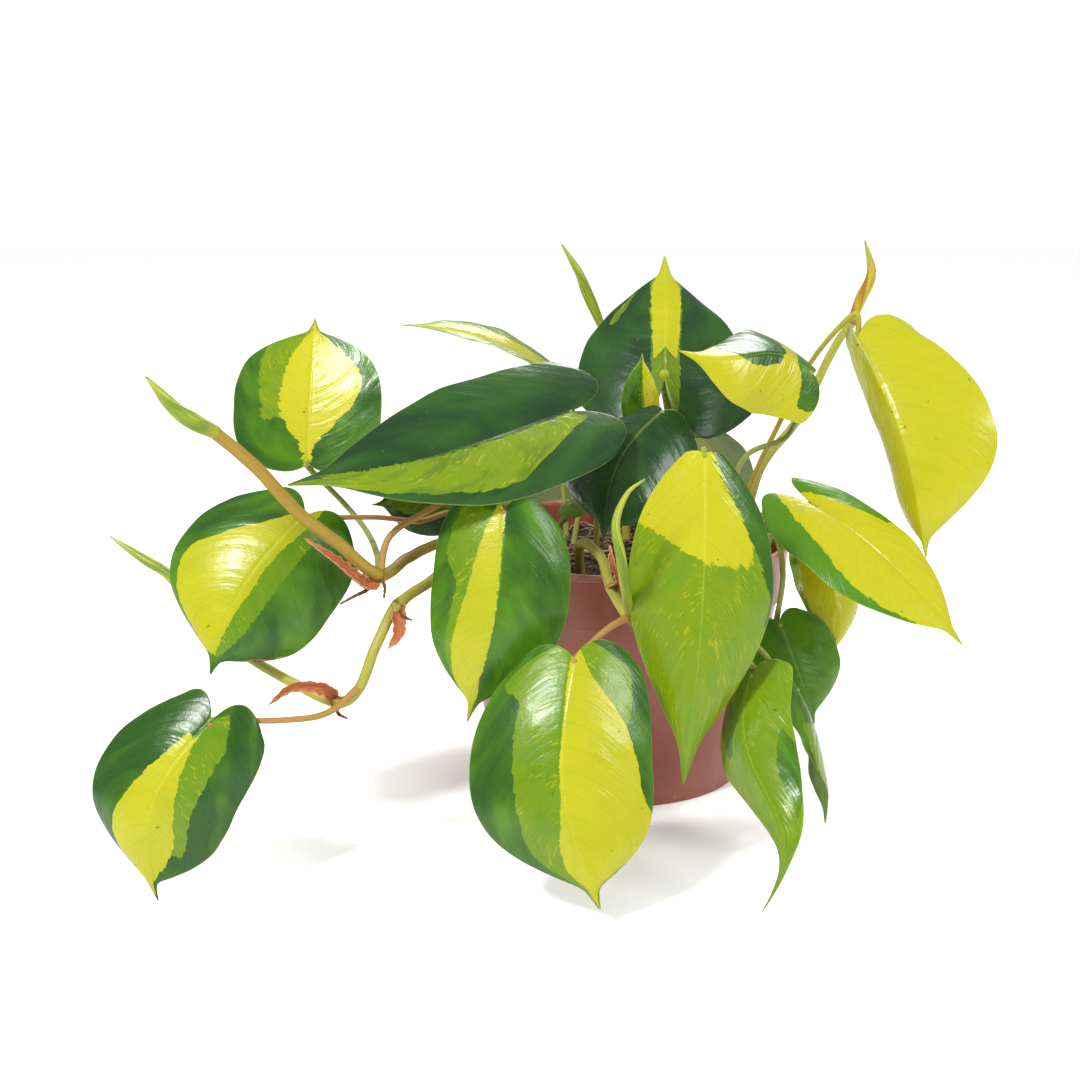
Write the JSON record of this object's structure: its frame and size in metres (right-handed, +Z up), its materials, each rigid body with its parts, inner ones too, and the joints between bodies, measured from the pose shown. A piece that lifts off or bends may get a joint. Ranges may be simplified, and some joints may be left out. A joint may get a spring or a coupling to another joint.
{
  "type": "potted heart-leaf philodendron",
  "caption": "Trailing plant with variegated heart-shaped leaves on vines and petioles, growing in soil in a round tapered nursery pot with a banded rim",
  "frame": {"origin": "centre of the flat underside of the pot's foot, on the surface the pot stands on", "axes": "+Z up along the pot's axis; the plant's front, with the largest hanging leaves, faces -Y; +X is to the right when looking at the front"},
  "size_m": [0.2889, 0.2268, 0.1861],
  "materials": {
    "terracotta_plastic": "satin",
    "potting_soil": "matte",
    "dark_leaf": "gloss",
    "green_leaf": "gloss",
    "lime_leaf": "gloss",
    "yellow_leaf": "gloss",
    "green_stem": "satin",
    "brown_stem": "satin",
    "dried_sheath": "matte"
  },
  "bodies": {
    "root": {"leaf_back_long": "dark_leaf", "leaf_back_narrow": "lime_leaf", "leaf_crown": "dark_leaf", "leaf_front_bottom": "green_leaf", "leaf_front_large": "lime_leaf", "leaf_front_left": "green_leaf", "leaf_left_bottom": "green_leaf", "leaf_left_inner": "dark_leaf", "leaf_left_middle": "green_leaf", "leaf_left_top": "green_leaf", "leaf_low_dark": "dark_leaf", "leaf_low_front": "lime_leaf", "leaf_low_right": "lime_leaf", "leaf_middle_dark": "dark_leaf", "leaf_new_centre": "lime_leaf", "leaf_rear_left": "green_leaf", "leaf_rear_right": "green_leaf", "leaf_right_hanging": "yellow_leaf", "leaf_right_middle": "yellow_leaf", "leaf_right_top": "yellow_leaf", "leaf_right_yellow": "yellow_leaf", "leaf_soil_small": "lime_leaf", "new_leaf_back": "lime_leaf", "new_leaf_front": "lime_leaf", "new_leaf_left_lower": "lime_leaf", "new_leaf_left_upper": "lime_leaf", "new_leaf_right": "lime_leaf", "nursery_pot": "terracotta_plastic", "petiole_back_long": "green_stem", "petiole_back_narrow": "green_stem", "petiole_crown": "green_stem", "petiole_front_bottom": "brown_stem", "petiole_front_large": "green_stem", "petiole_front_left": "brown_stem", "petiole_left_bottom": "brown_stem", "petiole_left_inner": "green_stem", "petiole_left_middle": "brown_stem", "petiole_left_top": "green_stem", "petiole_low_dark": "green_stem", "petiole_low_front": "green_stem", "petiole_low_right": "green_stem", "petiole_middle_dark": "green_stem", "petiole_new_centre": "green_stem", "petiole_rear_left": "green_stem", "petiole_rear_right": "green_stem", "petiole_right_hanging": "green_stem", "petiole_right_middle": "green_stem", "petiole_right_top": "green_stem", "petiole_right_yellow": "brown_stem", "petiole_soil_small": "green_stem", "potting_soil": "potting_soil", "sheath_front": "dried_sheath", "sheath_left_lower": "dried_sheath", "sheath_left_middle": "dried_sheath", "sheath_left_upper": "dried_sheath", "vine_back": "green_stem", "vine_front": "green_stem", "vine_left_lower": "green_stem", "vine_left_upper": "brown_stem", "vine_right": "green_stem"}
  },
  "joints": []
}
